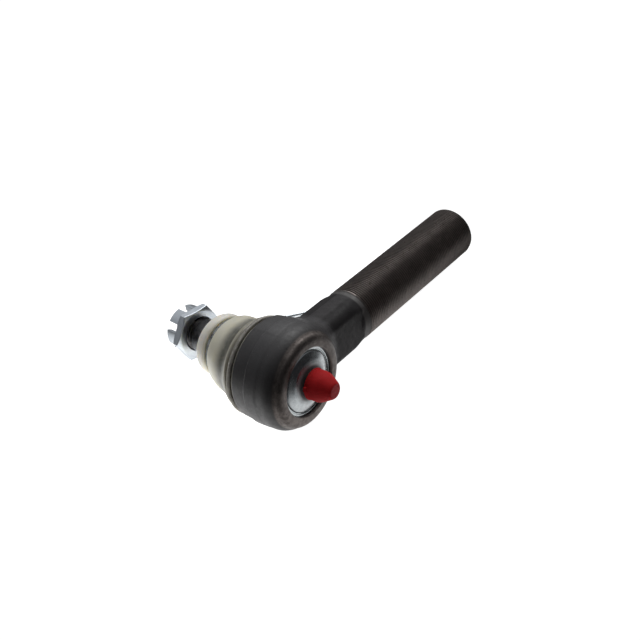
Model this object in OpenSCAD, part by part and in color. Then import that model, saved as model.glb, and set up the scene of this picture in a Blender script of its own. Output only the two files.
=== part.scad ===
// Tie rod end with a straight threaded shank.
// The origin is the centre of the ball. +X runs along the shank to its threaded end, and the cover
// with its grease nipple faces -Y. The stud leaves the eye on the +Y side and leans towards +X.

/* [Shank] */
// Outside diameter of the shank thread
shank_d = 30; // [28:0.5:31]
// Pitch of the shank thread
shank_pitch = 1.5; // [1:0.5:2]
// Distance from the ball centre to the start of the thread
thread_start = 59.5; // [56:0.1:62]
// Distance from the ball centre to the end of the shank
shank_end = 166.5; // [140:0.5:180]

/* [Eye] */
// Largest diameter of the eye
eye_d = 55; // [55:0.5:57]
// Distance from the ball centre to the front face, on the cover side
eye_front = 18.8; // [18.2:0.1:19]
// Distance from the ball centre to the shoulder that the boot sits against
eye_back = 9.5; // [9.2:0.1:10]
// Radius of the outer edge of the rolled lip
lip_edge_r = 24.6; // [23.5:0.1:25.5]
// Radius of the opening in the rolled lip
lip_open_r = 17.9; // [17.6:0.1:18.2]
// Radius of the bore that holds the bearing seats
bore_r = 17; // [17:0.1:17.2]

/* [Ball stud] */
// Diameter of the ball
ball_d = 27; // [26.6:0.1:27]
// Diameter of the neck between ball and taper
neck_d = 16; // [15:0.5:16]
// Outside diameter of the stud thread
stud_d = 18; // [17.5:0.5:18]
// Distance from the ball centre to the large end of the taper
taper_start = 26; // [24:0.5:28]
// Distance from the ball centre to the small end of the taper
taper_end = 57.4; // [56:0.1:58]
// Distance from the ball centre to the tip of the stud
stud_end = 66.4; // [66:0.1:67]
// Diameter of the cross hole for the split pin
pin_hole_d = 3.5; // [3.2:0.1:4]
// Lean of the stud towards the shank
stud_lean = 7; // [0:0.5:7.5]

/* [Castle nut] */
// Width across flats
nut_flats = 27; // [26:0.5:28]
// Distance from the ball centre to the near face of the nut
nut_near = 60.9; // [60.5:0.1:61.5]
// Height of the hexagon
nut_hex_h = 5; // [4.6:0.1:5.4]
// Height of the castellated crown
crown_h = 7.8; // [7:0.1:8]
// Diameter of the crown
crown_d = 25; // [24:0.5:26]
// Width of each slot in the crown
slot_w = 4.5; // [4:0.1:5]
// Angle of the first corner of the hexagon
nut_angle = 59; // [0:1:59]

/* [Grease nipple and cap] */
// Width across flats of the nipple
nipple_flats = 11; // [10:0.5:11]
// Diameter of the nipple thread
nipple_d = 10; // [9:0.5:10]
// Diameter of the protective cap
cap_d = 16.4; // [15.6:0.1:16.6]
// Distance from the ball centre to the tip of the cap
cap_tip = 34.2; // [33.4:0.1:35]

/* [Split pin] */
// Diameter of the closed pin
pin_d = 2; // [1.8:0.1:2.4]
// Length of the pin below its eye
pin_length = 32; // [28:1:34]
// Distance of the loose pin's eye from the ball centre along X
pin_x = 51.9; // [51:0.1:53]
// Distance of the loose pin's eye from the ball centre along Y
pin_y = 48.4; // [48:0.1:50]
// Height of the loose pin's eye, which is below the ball centre
pin_z = -12.9; // [-14:0.1:-12]
// Turn of the loose pin about Z
pin_turn = -34; // [-36:1:-28]
// Dip of the loose pin towards its tip
pin_dip = 3.2; // [0:0.1:4]

/* [Hidden] */
$fn = 96;
hex_sides = 6;
// Extra length of a cutting body past the face it cuts
past = 1;
// Radial gap of a running fit
run_gap = 0.03;
// Gap between soft or loose pieces and what they sit on
soft_gap = 0.15;
// Radial gap of a pressed or rolled-in piece
seat_gap = 0.05;

shank_r = shank_d / 2;
eye_r = eye_d / 2;
ball_r = ball_d / 2;
neck_r = neck_d / 2;
stud_r = stud_d / 2;

// Neck of the forging
neck_flat_z = 14.2;
neck_flat_y = 12;
neck_corner_r = 16;
neck_root_x = 18;
neck_root_r = 22;
neck_waist_x = 34;
// Radius turned into the neck behind the eye, clear of the boot's base spring
neck_relief_r = 27;
neck_ring_x = thread_start - 2.5;

// Layers of the joint, as distances from the ball centre along Y
flange_out = -17.2;
flange_in = -16;
flange_r = lip_open_r + 0.8;
seal_pocket = 1.3;
mouth_y = 7;
mouth_r = 11.8;
mouth_flare_r = 14.4;
spigot_end = 14.5;
spigot_r = 21.5;
seat_split = 0.3;
lower_seat_y = -14.2;
grease_hole_r = 3;

// Cover
dome_r = 15.2;
dome_edge_y = -17.9;
dome_top_y = -19.5;
dome_top_r = 7.5;
cover_boss_r = 5.9;
cover_boss_y = -15;

// Preload spring: a disc spring of 25 by 12.2 by 1.5
disc_r = 12.5;
disc_hole_r = 6.1;
disc_t = 1.5;

// Ball stud
neck_end = 18;
taper_ratio = 10;
taper_small_r = stud_r + 0.3;
taper_large_r = taper_small_r + (taper_end - taper_start) / taper_ratio / 2;
thread_relief_r = stud_r - 0.9;
stud_thread_y = taper_end + 0.8;
stud_chamfer = 1.2;
pin_hole_y = 61.9;

// Boot
boot_wall = 1.8;
boot_base_r = 23.1;
base_spring_y = 12.3;
base_spring_r = 24.6;
base_wire_r = 1.35;
collar_spring_y = 38;
collar_spring_r = 14.9;
collar_wire_r = 1.1;
boot_lip_r = 16.9;
boot_lip_y = 46;
boot_mouth_r = 10.7;
// The boot's wall bends between these two distances from the ball centre
boot_bend_start = 16;
boot_bend_end = 36;

// Nipple
nipple_hex_y = -20;
nipple_hex_h = 5.5;
nipple_head_r = 3.35;
nipple_tip_y = -32;
nipple_bore_r = 1.6;
nipple_mouth_r = 0.9;
check_ball_r = 1.25;
check_ball_y = -30.03;
check_spring_r = 1.3;
check_spring_hole_r = 0.95;
check_shoulder_y = -21;

module about_y() { rotate([-90, 0, 0]) children(); }
module about_x() { rotate([0, 90, 0]) children(); }

// A round bar along Y between two distances from the ball centre
module bar_y(from, to, r1, r2) {
    translate([0, min(from, to), 0]) about_y() cylinder(h = abs(to - from), r1 = r1, r2 = r2);
}

// A ring of round section about Y
module ring_y(y, ring_r, section_r) {
    translate([0, y, 0]) about_y() rotate_extrude() translate([ring_r, 0]) circle(r = section_r);
}

// Turns what is drawn along Y onto the stud's own axis
module leaning() { rotate([0, 0, -stud_lean]) children(); }

module neck() {
    difference() {
        neck_bar();
        bar_y(eye_back, neck_root_r, neck_relief_r, neck_relief_r);
    }
}

module neck_bar() {
    intersection() {
        translate([0, -neck_flat_y, -neck_root_r])
            cube([thread_start, 2 * neck_flat_y, 2 * neck_root_r]);
        union() {
            intersection() {
                translate([0, -neck_flat_y, -neck_flat_z])
                    cube([thread_start, 2 * neck_flat_y, 2 * neck_flat_z]);
                about_x() cylinder(h = thread_start, r = neck_corner_r);
            }
            translate([neck_root_x, 0, 0]) about_x()
                cylinder(h = neck_waist_x - neck_root_x, r1 = neck_root_r, r2 = neck_flat_z);
        }
    }
}

module threaded_shank() {
    plain = shank_end - shank_pitch - thread_start;
    translate([neck_ring_x, 0, 0]) about_x()
        cylinder(h = thread_start - neck_ring_x, r1 = shank_r - shank_pitch, r2 = shank_r);
    translate([thread_start, 0, 0]) about_x() cylinder(h = plain, r = shank_r);
    translate([thread_start + plain, 0, 0]) about_x()
        cylinder(h = shank_pitch, r1 = shank_r, r2 = shank_r - shank_pitch);
}

module housing() {
    color("dimgray") difference() {
        union() {
            about_y() rotate_extrude() polygon([
                [0, -eye_front], [lip_edge_r - 2.2, -eye_front], [lip_edge_r, 3.4 - eye_front],
                [lip_edge_r + 1, 4.2 - eye_front], [eye_r, 7.6 - eye_front], [eye_r, 0],
                [eye_r - 1.1, eye_back], [spigot_r, eye_back], [spigot_r, spigot_end], [0, spigot_end]]);
            neck();
            threaded_shank();
        }
        bar_y(flange_in, mouth_y, bore_r, bore_r);
        bar_y(flange_out, flange_in, flange_r + seat_gap, flange_r + seat_gap);
        bar_y(-eye_front - past, flange_out, lip_open_r, lip_open_r);
        bar_y(flange_in, flange_in + seal_pocket, bore_r + seal_pocket, bore_r + seal_pocket);
        bar_y(mouth_y - past, mouth_y, mouth_r, mouth_r);
        bar_y(mouth_y, spigot_end, mouth_r, mouth_flare_r);
        bar_y(spigot_end - seat_gap, spigot_end + past, mouth_flare_r, mouth_flare_r);
    }
}

module cover_plate() {
    color("lightsteelblue") difference() {
        about_y() rotate_extrude() polygon([
            [0, dome_top_y], [dome_top_r, dome_top_y], [dome_r - 1, dome_edge_y - 0.35],
            [dome_r, dome_edge_y], [dome_r, flange_out], [flange_r, flange_out],
            [flange_r, flange_in], [cover_boss_r, flange_in], [cover_boss_r, cover_boss_y],
            [0, cover_boss_y]]);
        bar_y(dome_top_y - past, cover_boss_y + past, nipple_d / 2, nipple_d / 2);
    }
}

module cover_seal_ring() {
    color("black")
        ring_y(flange_in + seal_pocket / 2, bore_r + seal_pocket / 2, seal_pocket / 2 - 0.01);
}

module upper_bearing_seat() {
    color("ivory") difference() {
        bar_y(seat_split, mouth_y, bore_r, bore_r);
        sphere(r = ball_r + run_gap);
    }
}

module lower_bearing_seat() {
    color("ivory") difference() {
        bar_y(lower_seat_y, -seat_split, bore_r - run_gap, bore_r - run_gap);
        sphere(r = ball_r + run_gap);
        bar_y(lower_seat_y - past, 0, grease_hole_r, grease_hole_r);
    }
}

module preload_spring() {
    low = flange_in + 0.02;
    high = lower_seat_y - 0.02;
    color("slategray") about_y() rotate_extrude() polygon([
        [disc_hole_r, high], [disc_hole_r, high - disc_t], [disc_r, low], [disc_r, low + disc_t]]);
}

module ball_stud() {
    color("gray") leaning() difference() {
        union() {
            sphere(r = ball_r);
            about_y() rotate_extrude() polygon([
                [0, 0], [neck_r, 0], [neck_r, neck_end], [taper_large_r - 0.6, taper_start - 1.6],
                [taper_large_r, taper_start], [taper_small_r, taper_end],
                [thread_relief_r, taper_end], [thread_relief_r, stud_thread_y],
                [stud_r - run_gap, stud_thread_y], [stud_r - run_gap, stud_end - stud_chamfer],
                [stud_r - stud_chamfer, stud_end], [0, stud_end]]);
        }
        translate([0, pin_hole_y, -stud_d]) cylinder(h = 2 * stud_d, d = pin_hole_d);
    }
}

// Lean of the boot's wall at a distance y from the ball centre
function boot_lean(y) = let (t = min(1, max(0, (y - boot_bend_start) / (boot_bend_end - boot_bend_start))))
    stud_lean * t * t * (3 - 2 * t);

// A closed outline of [radius, y] turned about Y, each height leaning by its own share
module bent_ring(outline, sides) {
    rows = len(outline);
    points = [for (p = outline, k = [0 : sides - 1])
        let (turn = 360 * k / sides, lean = boot_lean(p.y), x = p.x * cos(turn))
        [x * cos(lean) + p.y * sin(lean), p.y * cos(lean) - x * sin(lean), p.x * sin(turn)]];
    faces = [for (i = [0 : rows - 1], k = [0 : sides - 1])
        let (a = i * sides, b = (i + 1) % rows * sides, next = (k + 1) % sides)
        each [[a + k, a + next, b + next], [a + k, b + next, b + k]]];
    polyhedron(points, faces, convexity = 6);
}

module dust_boot() {
    base_in_r = spigot_r + soft_gap;
    groove_r = collar_spring_r - collar_wire_r - soft_gap;
    groove_low = collar_spring_y - collar_wire_r;
    groove_high = collar_spring_y + collar_wire_r;
    color("cornsilk") bent_ring([
        [base_in_r, eye_back + soft_gap], [boot_base_r, eye_back + soft_gap],
        [boot_base_r, base_spring_y + base_wire_r + 0.2], [24, 14.2], [24.4, 15], [24.2, 16.2],
        [22.9, 17.6], [21.4, 20], [20.8, 22.5], [20.6, 25], [20.5, 28], [20, 30.8], [19.2, 33],
        [18, 34.8], [16.4, groove_low - 0.7], [groove_r, groove_low], [groove_r, groove_high],
        [boot_lip_r - 1.2, groove_high + 0.7], [boot_lip_r - 0.3, groove_high + 1.7], [boot_lip_r, 42],
        [boot_lip_r, 43.4], [boot_lip_r - 0.5, 44.8], [boot_lip_r - 1.8, boot_lip_y],
        [boot_mouth_r, boot_lip_y], [boot_mouth_r, groove_high], [groove_r - boot_wall, groove_low],
        [groove_r - boot_wall, groove_low - 1], [16.8, 33.4], [18.2, 31], [18.7, 28], [18.8, 25],
        [19.3, 22], [20.2, 19], [21.2, 17], [base_in_r, 15.8]], 80);
}

module boot_base_spring() {
    color("silver") ring_y(base_spring_y, base_spring_r, base_wire_r);
}

module boot_collar_spring() {
    color("silver") leaning() ring_y(collar_spring_y, collar_spring_r, collar_wire_r);
}

module castle_nut() {
    crown_y = nut_near + nut_hex_h;
    nut_end = crown_y + crown_h;
    corner_r = nut_flats / 2 / cos(180 / hex_sides);
    slot_extra = 0.3;
    color("gainsboro") leaning() difference() {
        union() {
            intersection() {
                translate([0, nut_near, 0]) about_y() rotate([0, 0, -nut_angle])
                    cylinder(h = nut_hex_h, r = corner_r, $fn = hex_sides);
                about_y() rotate_extrude() polygon([
                    [0, nut_near], [nut_flats / 2 - 0.4, nut_near], [corner_r + past, nut_near + 1.6],
                    [corner_r + past, crown_y - 1.2], [nut_flats / 2 + 0.2, crown_y], [0, crown_y]]);
            }
            bar_y(nut_near + 2, nut_end, crown_d / 2, crown_d / 2);
        }
        bar_y(nut_near - past, nut_end + past, stud_r + run_gap, stud_r + run_gap);
        bar_y(nut_near, nut_near + 0.4, stud_r + 0.4, stud_r);
        for (k = [0 : hex_sides / 2 - 1])
            translate([0, crown_y - slot_extra, 0]) about_y() rotate([0, 0, 30 - nut_angle + k * 60])
                translate([-crown_d, -slot_w / 2, 0]) cube([2 * crown_d, slot_w, crown_h + past]);
    }
}

module cotter_pin() {
    wire_r = pin_d * 0.36;
    eye_ring_r = pin_d;
    slit = 0.12;
    color("silver") translate([pin_x, pin_y, pin_z]) rotate([0, pin_dip, pin_turn]) {
        difference() {
            about_x() cylinder(h = pin_length, r = pin_d / 2);
            translate([eye_ring_r, -slit / 2, -pin_d]) cube([pin_length, slit, 2 * pin_d]);
        }
        translate([-eye_ring_r, 0, 0]) rotate_extrude() translate([eye_ring_r, 0]) circle(r = wire_r);
    }
}

module grease_nipple_body() {
    hex_end = nipple_hex_y - nipple_hex_h;
    neck_end_y = hex_end - 2.6;
    corner_r = nipple_flats / 2 / cos(180 / hex_sides);
    color("gold") difference() {
        union() {
            bar_y(nipple_hex_y, cover_boss_y, nipple_d / 2, nipple_d / 2);
            translate([0, hex_end, 0]) about_y() cylinder(h = nipple_hex_h, r = corner_r, $fn = hex_sides);
            about_y() rotate_extrude() polygon([
                [0, hex_end], [4.4, hex_end], [2.7, neck_end_y], [nipple_head_r, neck_end_y - 1],
                [nipple_head_r, neck_end_y - 1.8], [1.7, nipple_tip_y], [0, nipple_tip_y]]);
        }
        bar_y(nipple_tip_y - past, nipple_tip_y + 1, nipple_mouth_r, nipple_mouth_r);
        bar_y(nipple_tip_y + 1, nipple_tip_y + 2, nipple_mouth_r, nipple_bore_r);
        bar_y(nipple_tip_y + 2, check_shoulder_y, nipple_bore_r, nipple_bore_r);
        bar_y(check_shoulder_y, cover_boss_y + past, nipple_mouth_r, nipple_mouth_r);
    }
}

module nipple_check_ball() {
    color("silver") translate([0, check_ball_y, 0]) sphere(r = check_ball_r);
}

module nipple_spring() {
    near_ball = check_ball_y + check_ball_r + seat_gap;
    color("darkgray") difference() {
        bar_y(near_ball, check_shoulder_y, check_spring_r, check_spring_r);
        bar_y(near_ball - past, check_shoulder_y + past, check_spring_hole_r, check_spring_hole_r);
    }
}

module protective_cap() {
    cap_r = cap_d / 2;
    base_y = dome_top_y - 0.4;
    belly_y = -26.5;
    cone_y = -28;
    nib = [2, 1.6, 2.4];
    nib_drop = 0.4;
    nib_turn = 13;
    color("firebrick") difference() {
        union() {
            about_y() rotate_extrude() polygon([
                [0, base_y], [cap_r - 0.2, base_y], [cap_r, base_y - 1], [cap_r + 0.25, belly_y],
                [cap_r - 0.3, cone_y], [4.4, 0.5 - cap_tip], [3.8, -cap_tip], [0, -cap_tip]]);
            rotate([0, nib_turn, 0])
                translate([-cap_r - 0.6, base_y - nib.y - nib_drop, -nib.z / 2]) cube(nib);
        }
        about_y() rotate_extrude() polygon([
            [0, base_y + past], [6.75, base_y + past], [6.75, belly_y], [4.2, -30.4],
            [3.6, -32.4], [0, -32.4]]);
    }
}

housing();
cover_plate();
cover_seal_ring();
upper_bearing_seat();
lower_bearing_seat();
preload_spring();
ball_stud();
dust_boot();
boot_base_spring();
boot_collar_spring();
castle_nut();
cotter_pin();
grease_nipple_body();
nipple_check_ball();
nipple_spring();
protective_cap();
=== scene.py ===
import math

import bmesh
import bpy
import numpy as np
from mathutils import Matrix, Vector


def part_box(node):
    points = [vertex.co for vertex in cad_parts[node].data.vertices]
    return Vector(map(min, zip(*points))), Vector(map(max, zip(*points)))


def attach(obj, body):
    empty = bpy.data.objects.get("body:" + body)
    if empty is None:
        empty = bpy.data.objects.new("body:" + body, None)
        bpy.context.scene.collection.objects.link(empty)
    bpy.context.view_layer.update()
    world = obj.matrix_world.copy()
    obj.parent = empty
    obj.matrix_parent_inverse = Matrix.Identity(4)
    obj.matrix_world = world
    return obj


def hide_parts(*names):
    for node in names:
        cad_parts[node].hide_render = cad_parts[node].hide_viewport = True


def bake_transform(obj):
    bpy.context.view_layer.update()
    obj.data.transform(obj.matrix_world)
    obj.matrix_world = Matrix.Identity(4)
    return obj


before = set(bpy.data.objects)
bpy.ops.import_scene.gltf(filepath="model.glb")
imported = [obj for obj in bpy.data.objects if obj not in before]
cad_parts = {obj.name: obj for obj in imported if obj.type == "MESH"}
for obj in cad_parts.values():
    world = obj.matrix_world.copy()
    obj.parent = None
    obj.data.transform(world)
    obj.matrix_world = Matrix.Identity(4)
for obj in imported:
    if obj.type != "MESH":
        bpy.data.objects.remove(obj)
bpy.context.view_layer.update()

MM = 0.001

# Main sizes in millimetres, read from the frame where a CAD node gives them
shank_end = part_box("housing")[1].x / MM
eye_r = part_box("housing")[1].z / MM
eye_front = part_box("housing")[0].y / MM
spigot_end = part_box("housing")[1].y / MM
ball_r = -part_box("ball_stud")[0].y / MM
cap_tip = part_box("protective_cap")[0].y / MM
cap_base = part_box("protective_cap")[1].y / MM
base_spring_low, base_spring_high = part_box("boot_base_spring")
shank_r = 15.0
shank_pitch = 1.5
thread_start = 59.5
stud_r = 9.0
stud_pitch = 1.5

# Distances from the ball centre along the stud's own axis, which leans towards the shank
stud_lean = math.radians(7)
taper_end = 57.4
stud_end = 66.4
pin_hole_y = 61.9
pin_hole_r = 1.75
nut_near = 60.9
nut_far = 73.7
bend_start = 16.0
bend_end = 36.0


# ---------------------------------------------------------------- mesh helpers

def smooth_step(x, low, high):
    t = np.clip((x - low) / (high - low), 0, 1)
    return t * t * (3 - 2 * t)


def new_object(name, vertices, faces, sharp_angle=35, merge=1e-3):
    """A mesh object from millimetre vertices, with sharp edges marked by angle."""
    mesh = bpy.data.meshes.new(name)
    mesh.from_pydata([tuple(v) for v in vertices], [], [tuple(f) for f in faces])
    shape = bmesh.new()
    shape.from_mesh(mesh)
    bmesh.ops.remove_doubles(shape, verts=shape.verts, dist=merge)
    bmesh.ops.dissolve_degenerate(shape, edges=shape.edges, dist=merge / 10)
    bmesh.ops.recalc_face_normals(shape, faces=shape.faces)
    finish_shading(shape, sharp_angle)
    bmesh.ops.scale(shape, vec=(MM, MM, MM), verts=shape.verts)
    shape.to_mesh(mesh)
    shape.free()
    thing = bpy.data.objects.new(name, mesh)
    bpy.context.scene.collection.objects.link(thing)
    return thing


def finish_shading(shape, sharp_angle):
    limit = math.radians(sharp_angle)
    for face in shape.faces:
        face.smooth = True
    for edge in shape.edges:
        edge.smooth = edge.calc_face_angle(0) < limit


def rounded(corners, steps=4):
    """An outline of (radius, y, fillet) corners, with each corner turned into an arc."""
    line = []
    count = len(corners)
    for i, (r, y, fillet) in enumerate(corners):
        here = np.array([r, y], float)
        if fillet == 0 or i in (0, count - 1) and r == 0:
            line.append(tuple(here))
            continue
        before = np.array(corners[i - 1][:2], float) - here
        after = np.array(corners[(i + 1) % count][:2], float) - here
        before_length, after_length = np.linalg.norm(before), np.linalg.norm(after)
        before /= before_length
        after /= after_length
        half = math.acos(np.clip(before @ after, -1, 1)) / 2
        reach = min(fillet / math.tan(half), 0.49 * before_length, 0.49 * after_length)
        radius = reach * math.tan(half)
        middle = before + after
        centre = here + middle / np.linalg.norm(middle) * radius / math.sin(half)
        first = here + before * reach - centre
        last = here + after * reach - centre
        for k in range(steps + 1):
            share = k / steps
            spoke = first * (1 - share) + last * share
            line.append(tuple(centre + spoke / np.linalg.norm(spoke) * radius))
    return line


def grid_faces(rows, columns, wrap_rows):
    faces = []
    for i in range(rows if wrap_rows else rows - 1):
        for j in range(columns):
            a, b = i * columns, (i + 1) % rows * columns
            k = (j + 1) % columns
            faces.append((a + j, a + k, b + k, b + j))
    return faces


def lathe(name, outline, closed=False, segments=128, sharp_angle=35):
    """A solid of revolution about Y. A closed outline makes a ring."""
    outline = np.array(outline, float)
    turn = np.linspace(0, 2 * math.pi, segments, endpoint=False)
    r, y = outline[:, :1], outline[:, 1:]
    vertices = np.stack([r * np.cos(turn), np.broadcast_to(y, (len(outline), segments)),
                         r * np.sin(turn)], -1).reshape(-1, 3)
    return new_object(name, vertices, grid_faces(len(outline), segments, closed), sharp_angle)


def threaded_bar(before, start, end, crest, pitch, end_r, dimple, segments=96):
    """Vertices and faces of a bar along X with a right-hand thread from start to end.

    The rings before the thread are (x, radius) pairs. The end has a chamfer and a centre dimple.
    """
    depth = 0.6134 * pitch
    start_r = before[-1][1]
    tooth = [(0.0, 0.0), (0.125, 0.0), (0.4375, 1.0), (0.6875, 1.0)]
    turns = int((end - start) / pitch) + 4
    rows = np.array([(k + u - 1, d) for k in range(turns) for u, d in tooth])
    turn = np.arange(segments) / segments
    x = start + pitch * (rows[:, :1] + turn)
    r = np.minimum(crest - depth * rows[:, 1:], np.minimum(start_r + x - start, end_r + end - x))
    r = np.where(x <= start, start_r, np.where(x >= end, end_r, r))
    x = np.clip(x, start, end)
    last = len(rows) - 1
    faces = []
    for i in range(last):
        here, ahead = i * segments, (i + 1) * segments
        faces += [(here + j, ahead + j, ahead + j + 1, here + j + 1) for j in range(segments - 1)]
        if i + 1 + len(tooth) <= last:
            j, k = segments - 1, len(tooth) * segments
            faces.append((here + j, ahead + j, ahead + k, here + k))
    angle = 2 * math.pi * turn
    parts = [np.stack([x, r * np.cos(angle), r * np.sin(angle)], -1).reshape(-1, 3)]
    count = len(parts[0])
    after = [(end, end_r), (end, dimple * 1.3), (end - 0.3, dimple), (end - dimple, 0)]
    for rings in (before, after):
        for i, (ring_x, ring_r) in enumerate(rings):
            parts.append(np.stack([0 * angle + ring_x, ring_r * np.cos(angle), ring_r * np.sin(angle)], -1))
            if i:
                faces += [(count - segments + j, count - segments + (j + 1) % segments,
                           count + (j + 1) % segments, count + j) for j in range(segments)]
            count += segments
    return np.vstack(parts), faces


def along_y(vertices):
    """Turns a shape built along X so that it runs along Y."""
    v = np.asarray(vertices)
    return np.stack([-v[:, 1], v[:, 0], v[:, 2]], -1)


def coil_ring(name, y, ring_r, coil_r, wire_r, wire_sides=6, per_turn=12):
    """A closed garter spring: a close-wound coil bent into a ring about Y."""
    turns = int(2 * math.pi * ring_r / (2.06 * wire_r))
    count = turns * per_turn
    t = np.arange(count) / count * 2 * math.pi
    centre_r = coil_r - wire_r

    def place(t, r):
        radial = ring_r + r * np.cos(t * turns)
        return np.stack([radial * np.cos(t), y + r * np.sin(t * turns), radial * np.sin(t)], -1)

    path = place(t, centre_r)
    ahead = place(t + 1e-4, centre_r) - place(t - 1e-4, centre_r)
    ahead /= np.linalg.norm(ahead, axis=1, keepdims=True)
    out = place(t, centre_r + 1) - path
    side = np.cross(ahead, out)
    side /= np.linalg.norm(side, axis=1, keepdims=True)
    out = np.cross(side, ahead)
    around = np.arange(wire_sides) / wire_sides * 2 * math.pi
    vertices = (path[:, None] + wire_r * (out[:, None] * np.cos(around)[:, None]
                + side[:, None] * np.sin(around)[:, None])).reshape(-1, 3)
    return new_object(name, vertices, grid_faces(count, wire_sides, True), 80, merge=1e-5)


def helix_spring(name, y_low, y_high, coil_r, wire_r, turns, wire_sides=8, per_turn=24):
    """An open compression spring along Y."""
    count = turns * per_turn
    share = np.arange(count + 1) / count
    t = share * turns * 2 * math.pi
    y = y_low + wire_r + (y_high - y_low - 2 * wire_r) * share
    out = np.stack([np.cos(t), 0 * t, np.sin(t)], -1)
    path = out * (coil_r - wire_r) + np.stack([0 * y, y, 0 * y], -1)
    around = np.arange(wire_sides) / wire_sides * 2 * math.pi
    up = np.array([0, 1.0, 0])
    vertices = (path[:, None] + wire_r * (out[:, None] * np.cos(around)[:, None]
                + up * np.sin(around)[:, None])).reshape(-1, 3)
    faces = grid_faces(count + 1, wire_sides, False)
    faces += [tuple(range(wire_sides)), tuple(count * wire_sides + np.arange(wire_sides))]
    return new_object(name, vertices, faces, 60)


def lean(thing, share=1.0):
    """Turns a piece about the ball centre onto the leaning stud axis, wholly or by a share a vertex."""
    v = vertex_array(thing)
    angle = stud_lean * share
    x = v[:, 0] * np.cos(angle) + v[:, 1] * np.sin(angle)
    y = v[:, 1] * np.cos(angle) - v[:, 0] * np.sin(angle)
    thing.data.vertices.foreach_set("co", (np.stack([x, y, v[:, 2]], -1) * MM).ravel())
    thing.data.update()
    return thing


# ------------------------------------------------------- distance-field solids

def round_max(a, b, k):
    h = np.maximum(k - np.abs(a - b), 0) / k
    return np.maximum(a, b) + h * h * k / 4


def round_min(a, b, k):
    return -round_max(-a, -b, k)


def surface_net(distance, low, high, step):
    """Vertices and quads of the zero surface of distance(points) in a box."""
    axes = [np.arange(a, b + step, step) for a, b in zip(low, high)]
    shape = tuple(len(a) for a in axes)
    value = np.empty(shape)
    for i, x in enumerate(axes[0]):
        y, z = np.meshgrid(axes[1], axes[2], indexing="ij")
        value[i] = distance(np.stack([np.full_like(y, x), y, z], -1))
    inside = value < 0
    corners = [(i, j, k) for i in (0, 1) for j in (0, 1) for k in (0, 1)]
    cut = tuple(s - 1 for s in shape)

    def corner(a, c):
        return a[c[0]:c[0] + cut[0], c[1]:c[1] + cut[1], c[2]:c[2] + cut[2]]

    total = sum(corner(inside, c).astype(np.int8) for c in corners)
    crossed = (total > 0) & (total < 8)
    where = np.argwhere(crossed)
    index = np.full(cut, -1)
    index[crossed] = np.arange(len(where))
    point = np.zeros((len(where), 3))
    hits = np.zeros(len(where))
    for a in corners:
        for axis in range(3):
            if a[axis]:
                continue
            b = tuple(v + (n == axis) for n, v in enumerate(a))
            va, vb = corner(value, a)[crossed], corner(value, b)[crossed]
            change = (va < 0) != (vb < 0)
            t = np.where(change, va / np.where(change, va - vb, 1), 0)
            offset = np.tile(np.array(a, float), (len(where), 1))
            offset[:, axis] += t
            point += offset * change[:, None]
            hits += change
    vertices = np.array(low) + step * (where + point / hits[:, None])
    faces = []
    for axis in range(3):
        u, v = [(axis + 1) % 3, (axis + 2) % 3]
        near = [slice(None)] * 3
        far = [slice(None)] * 3
        near[axis], far[axis] = slice(0, shape[axis] - 1), slice(1, shape[axis])
        flips = np.argwhere(inside[tuple(near)] != inside[tuple(far)])
        flips = flips[(flips[:, u] > 0) & (flips[:, v] > 0)
                      & (flips[:, u] < shape[u] - 1) & (flips[:, v] < shape[v] - 1)]
        quad = []
        for du, dv in ((0, 0), (1, 0), (1, 1), (0, 1)):
            cell = flips.copy()
            cell[:, u] -= du
            cell[:, v] -= dv
            quad.append(index[cell[:, 0], cell[:, 1], cell[:, 2]])
        quad = np.stack(quad, -1)
        out = inside[tuple(far)][tuple(flips.T)]
        quad[out] = quad[out][:, ::-1]
        faces.append(quad)
    faces = np.vstack(faces)
    small = step / 20
    for _ in range(3):
        slope = np.stack([distance(vertices + small * e) - distance(vertices - small * e)
                          for e in np.eye(3)], -1) / (2 * small)
        move = distance(vertices)[:, None] * slope / np.maximum((slope ** 2).sum(-1), 0.25)[:, None]
        size = np.linalg.norm(move, axis=1, keepdims=True)
        vertices -= move * np.minimum(1, 0.5 * step / np.maximum(size, 1e-9))
    return vertices, faces


def net_object(name, distance, low, high, step):
    """A smooth-shaded object from a distance field, with normals taken from the field."""
    vertices, faces = surface_net(distance, low, high, step)
    thing = new_object(name, vertices, faces, 180)
    v = vertex_array(thing)
    small = step / 8
    slope = np.stack([distance(v + small * e) - distance(v - small * e) for e in np.eye(3)], -1)
    slope /= np.maximum(np.linalg.norm(slope, axis=1, keepdims=True), 1e-9)
    thing.data.normals_split_custom_set_from_vertices(slope.tolist())
    return thing


def set_attribute(thing, name, values):
    layer = thing.data.attributes.new(name, "FLOAT", "POINT")
    layer.data.foreach_set("value", np.asarray(values, np.float32))


def vertex_array(thing):
    flat = np.empty(len(thing.data.vertices) * 3)
    thing.data.vertices.foreach_get("co", flat)
    return flat.reshape(-1, 3) / MM


def fine(step):
    return step


# ---------------------------------------------------------------- the forging

# Trimmed flash: its height, half width and place, and the step behind it
flash_height = 0.16
flash_half = 3.2
flash_centre = -2.2
rear_step = 0.42

# Eye: draft of its side, rolled lip, flat back and the spigot that carries the boot
side_draft = 0.012
lip_root_y = -15.9
lip_outer_r = 24.6
lip_open_r = 17.9
lip_worn_r = 25.2
eye_back = 9.5
relief_r = 27.0
spigot_r = 21.5

# Hollow: the seat of the cover, the bore for the seats and ball, and the flared mouth for the stud
cover_seat_r = 18.8
cover_seat_y = -17.25
cover_shoulder_y = -16.0
bore_r = 17.05
bore_back = 7.05
mouth_r = 11.85
mouth_flare = 0.347

# Neck and the turned ring where the thread starts
neck_top = 14.1
neck_side = 12.0
neck_corner_r = 5.2
neck_waist_r = 16.1
ring_start = thread_start - 2.7
ring_r = 13.5


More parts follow.
